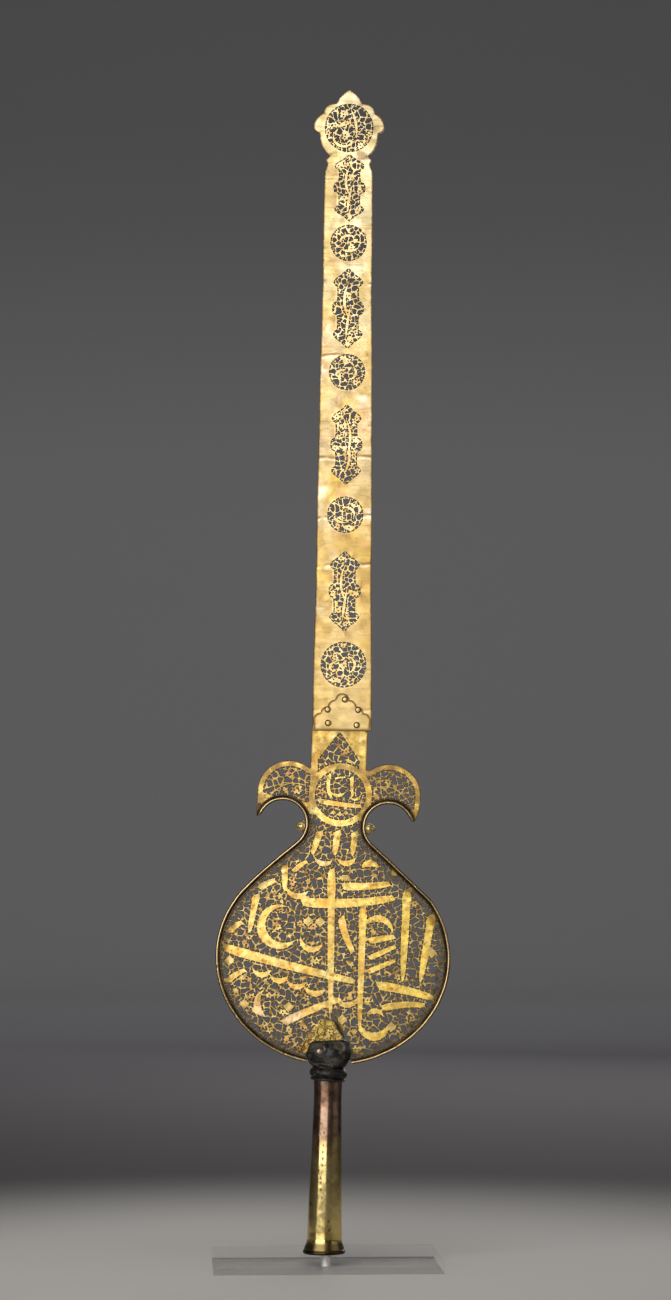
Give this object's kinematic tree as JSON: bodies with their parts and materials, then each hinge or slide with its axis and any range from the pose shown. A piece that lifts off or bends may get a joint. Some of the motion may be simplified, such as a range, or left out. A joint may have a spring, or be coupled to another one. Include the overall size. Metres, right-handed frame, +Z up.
{
  "type": "processional standard",
  "caption": "Pierced gilt sheet standard with a rimmed round disc, curled horns and a long blade, on a hollow pole socket held upright by a rod in a clear foot.",
  "frame": {"origin": "middle of the clear foot's underside, under the pole socket", "axes": "+Z up along the standard, -Y out of its front face, +X to the right seen from the front"},
  "size_m": [0.2892, 0.179, 1.4109],
  "materials": {
    "pale_gilt": "pale worn gilding with brown and pink tarnish, hand polished",
    "warm_gilt": "warm worn gilding on pierced sheet",
    "dark_rim_brass": "dark patinated channel with a polished crown",
    "knob_brass": "dull yellow brass",
    "patch_brass": "yellow brass sheet, lightly stained",
    "blackened_metal": "blackened, dented and rubbed on its high places",
    "socket_brass": "copper-red above to olive brass below, pitted and polished",
    "rod_steel": "bright threaded rod",
    "clear_acrylic": "clear cast acrylic with polished edges"
  },
  "bodies": {
    "root": {"blade": "pale_gilt", "joining_plate": "pale_gilt", "joint_rivet_1": "pale_gilt", "joint_rivet_2": "pale_gilt", "joint_rivet_3": "pale_gilt", "joint_rivet_4": "pale_gilt", "joint_rivet_5": "pale_gilt", "body_sheet": "warm_gilt", "rim_left": "dark_rim_brass", "rim_right": "dark_rim_brass", "bud_left": "knob_brass", "bud_right": "knob_brass", "repair_patch": "patch_brass", "socket_head": "blackened_metal", "head_rivet": "knob_brass", "collar": "blackened_metal", "socket": "socket_brass", "threaded_rod": "rod_steel", "clear_foot": "clear_acrylic"}
  },
  "joints": []
}
